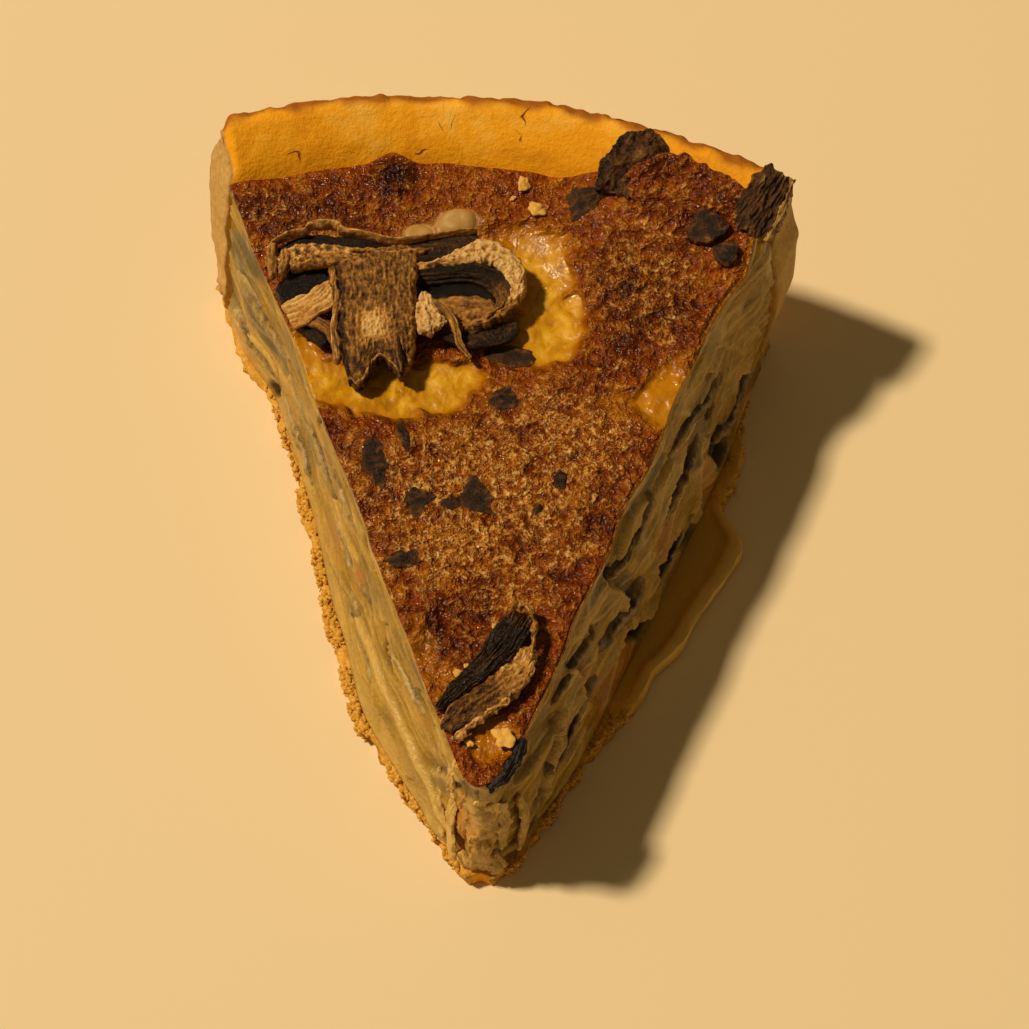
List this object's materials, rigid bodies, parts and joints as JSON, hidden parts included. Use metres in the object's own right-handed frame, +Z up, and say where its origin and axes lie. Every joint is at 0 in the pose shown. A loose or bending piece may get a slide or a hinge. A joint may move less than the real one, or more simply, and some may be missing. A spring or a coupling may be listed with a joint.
{
  "type": "quiche slice",
  "caption": "Wedge of deep mushroom quiche: shortcrust base and raised rim, set custard browned on top, mushroom slices lying on it and showing in both cuts.",
  "frame": {"origin": "under the middle of the slice's bounding box, on the surface that it stands on", "axes": "+Y from the nose of the slice to its rim, +Z up, +X to the right as seen from the nose"},
  "size_m": [0.1224, 0.1518, 0.0503],
  "materials": {
    "baked shortcrust": "dry, fine-grained, golden",
    "set custard, browned on top": "soft satin, glossy where browned",
    "dried mushroom": "dry, wrinkled",
    "browned mushroom": "satin, wrinkled",
    "cooked mushroom": "moist satin",
    "black mushroom skin": "moist, glossy"
  },
  "bodies": {
    "root": {"crust_case": "baked shortcrust", "custard_filling": "set custard, browned on top", "mushroom_slice_top": "dried mushroom", "mushroom_slice_nose": "dried mushroom", "mushroom_slice_rim": "browned mushroom", "mushroom_slice_corner": "browned mushroom", "mushroom_skin_nose": "black mushroom skin", "mushroom_cut_left_1": "cooked mushroom", "mushroom_cut_left_2": "cooked mushroom", "mushroom_cut_left_3": "cooked mushroom", "mushroom_cut_left_4": "cooked mushroom", "mushroom_cut_left_5": "cooked mushroom", "mushroom_cut_left_6": "cooked mushroom", "mushroom_cut_left_7": "cooked mushroom", "mushroom_cut_left_8": "cooked mushroom", "mushroom_cut_right_1": "cooked mushroom", "mushroom_cut_right_2": "cooked mushroom", "mushroom_cut_right_3": "cooked mushroom", "mushroom_cut_right_4": "cooked mushroom", "mushroom_cut_right_5": "cooked mushroom", "mushroom_cut_right_6": "cooked mushroom", "mushroom_cut_right_7": "cooked mushroom", "mushroom_cut_right_8": "cooked mushroom"}
  },
  "joints": []
}
